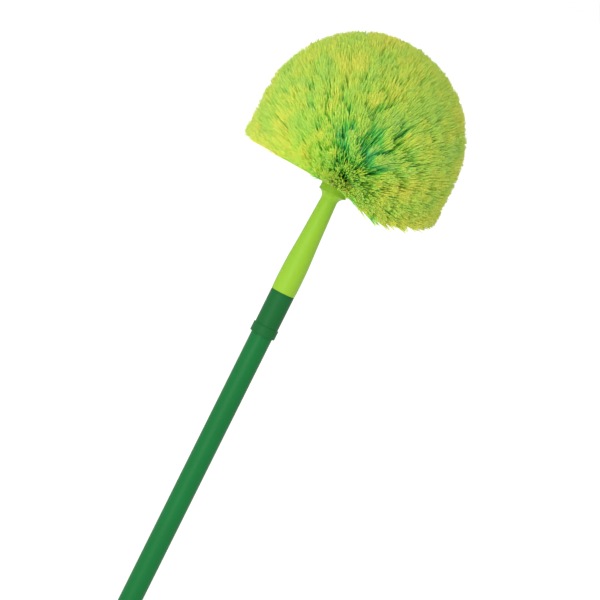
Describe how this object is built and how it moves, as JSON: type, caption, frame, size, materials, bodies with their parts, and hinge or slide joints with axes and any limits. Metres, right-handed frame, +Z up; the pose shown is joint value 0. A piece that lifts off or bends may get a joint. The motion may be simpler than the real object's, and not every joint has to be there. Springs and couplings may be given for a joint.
{
  "type": "cobweb brush",
  "caption": "Domed soft-bristle cobweb brush on a two-section twist-lock telescopic pole, shown closed, with a moulded screw-on head and a hanging end cap.",
  "frame": {"origin": "centre of the flat foot of the end cap, at the low end of the pole", "axes": "+Z up the pole towards the brush; +X along the hanging hole's axis"},
  "size_m": [0.2108, 0.2107, 0.8996],
  "materials": {
    "lime_plastic": "satin moulded polypropylene, lime green",
    "lime_bristle": "soft flagged bristle, lime green",
    "dark_green_plastic": "satin moulded polypropylene, dark green",
    "green_paint": "satin powder coat on thin steel tube",
    "steel_tube": "bright drawn steel tube",
    "zinc_steel": "zinc plated steel",
    "anchor_wire": "flat tinned wire",
    "natural_plastic": "natural acetal",
    "grey_plastic": "grey nylon"
  },
  "bodies": {
    "outer_pole": {"end_cap": "dark_green_plastic", "outer_tube": "green_paint", "collar": "dark_green_plastic", "guide_bush": "natural_plastic"},
    "lock_sleeve": {"lock_expander": "grey_plastic"},
    "lock_nut": {"lock_cone": "natural_plastic"},
    "inner_pole": {"inner_tube": "steel_tube", "lock_plug": "dark_green_plastic", "lock_spindle": "zinc_steel", "spindle_nut": "zinc_steel", "threaded_tip": "dark_green_plastic", "head_body": "lime_plastic", "tuft_anchors": "anchor_wire", "tuft_ring_1": "lime_bristle", "tuft_ring_2": "lime_bristle", "tuft_ring_3": "lime_bristle", "tuft_ring_4": "lime_bristle", "tuft_ring_5": "lime_bristle", "tuft_ring_6": "lime_bristle", "tuft_ring_7": "lime_bristle", "tuft_crown": "lime_bristle"}
  },
  "joints": [
    {"name": "pole_extend", "type": "slide", "parent": "outer_pole", "child": "lock_sleeve", "axis": [0, 0, 1], "range_m": [0, 0.44]},
    {"name": "pole_twist", "type": "hinge", "parent": "lock_sleeve", "child": "inner_pole", "pos_m": [0, 0, 0.6], "axis": [0, 0, 1], "range_deg": [0, 270]},
    {"name": "cone_draw", "type": "slide", "parent": "lock_sleeve", "child": "lock_nut", "axis": [0, 0, 1], "range_m": [0, 0.0015]}
  ],
  "couplings": [
    {"joint": "cone_draw", "follows": "pole_twist", "m_per_rad": 0.00031831}
  ]
}
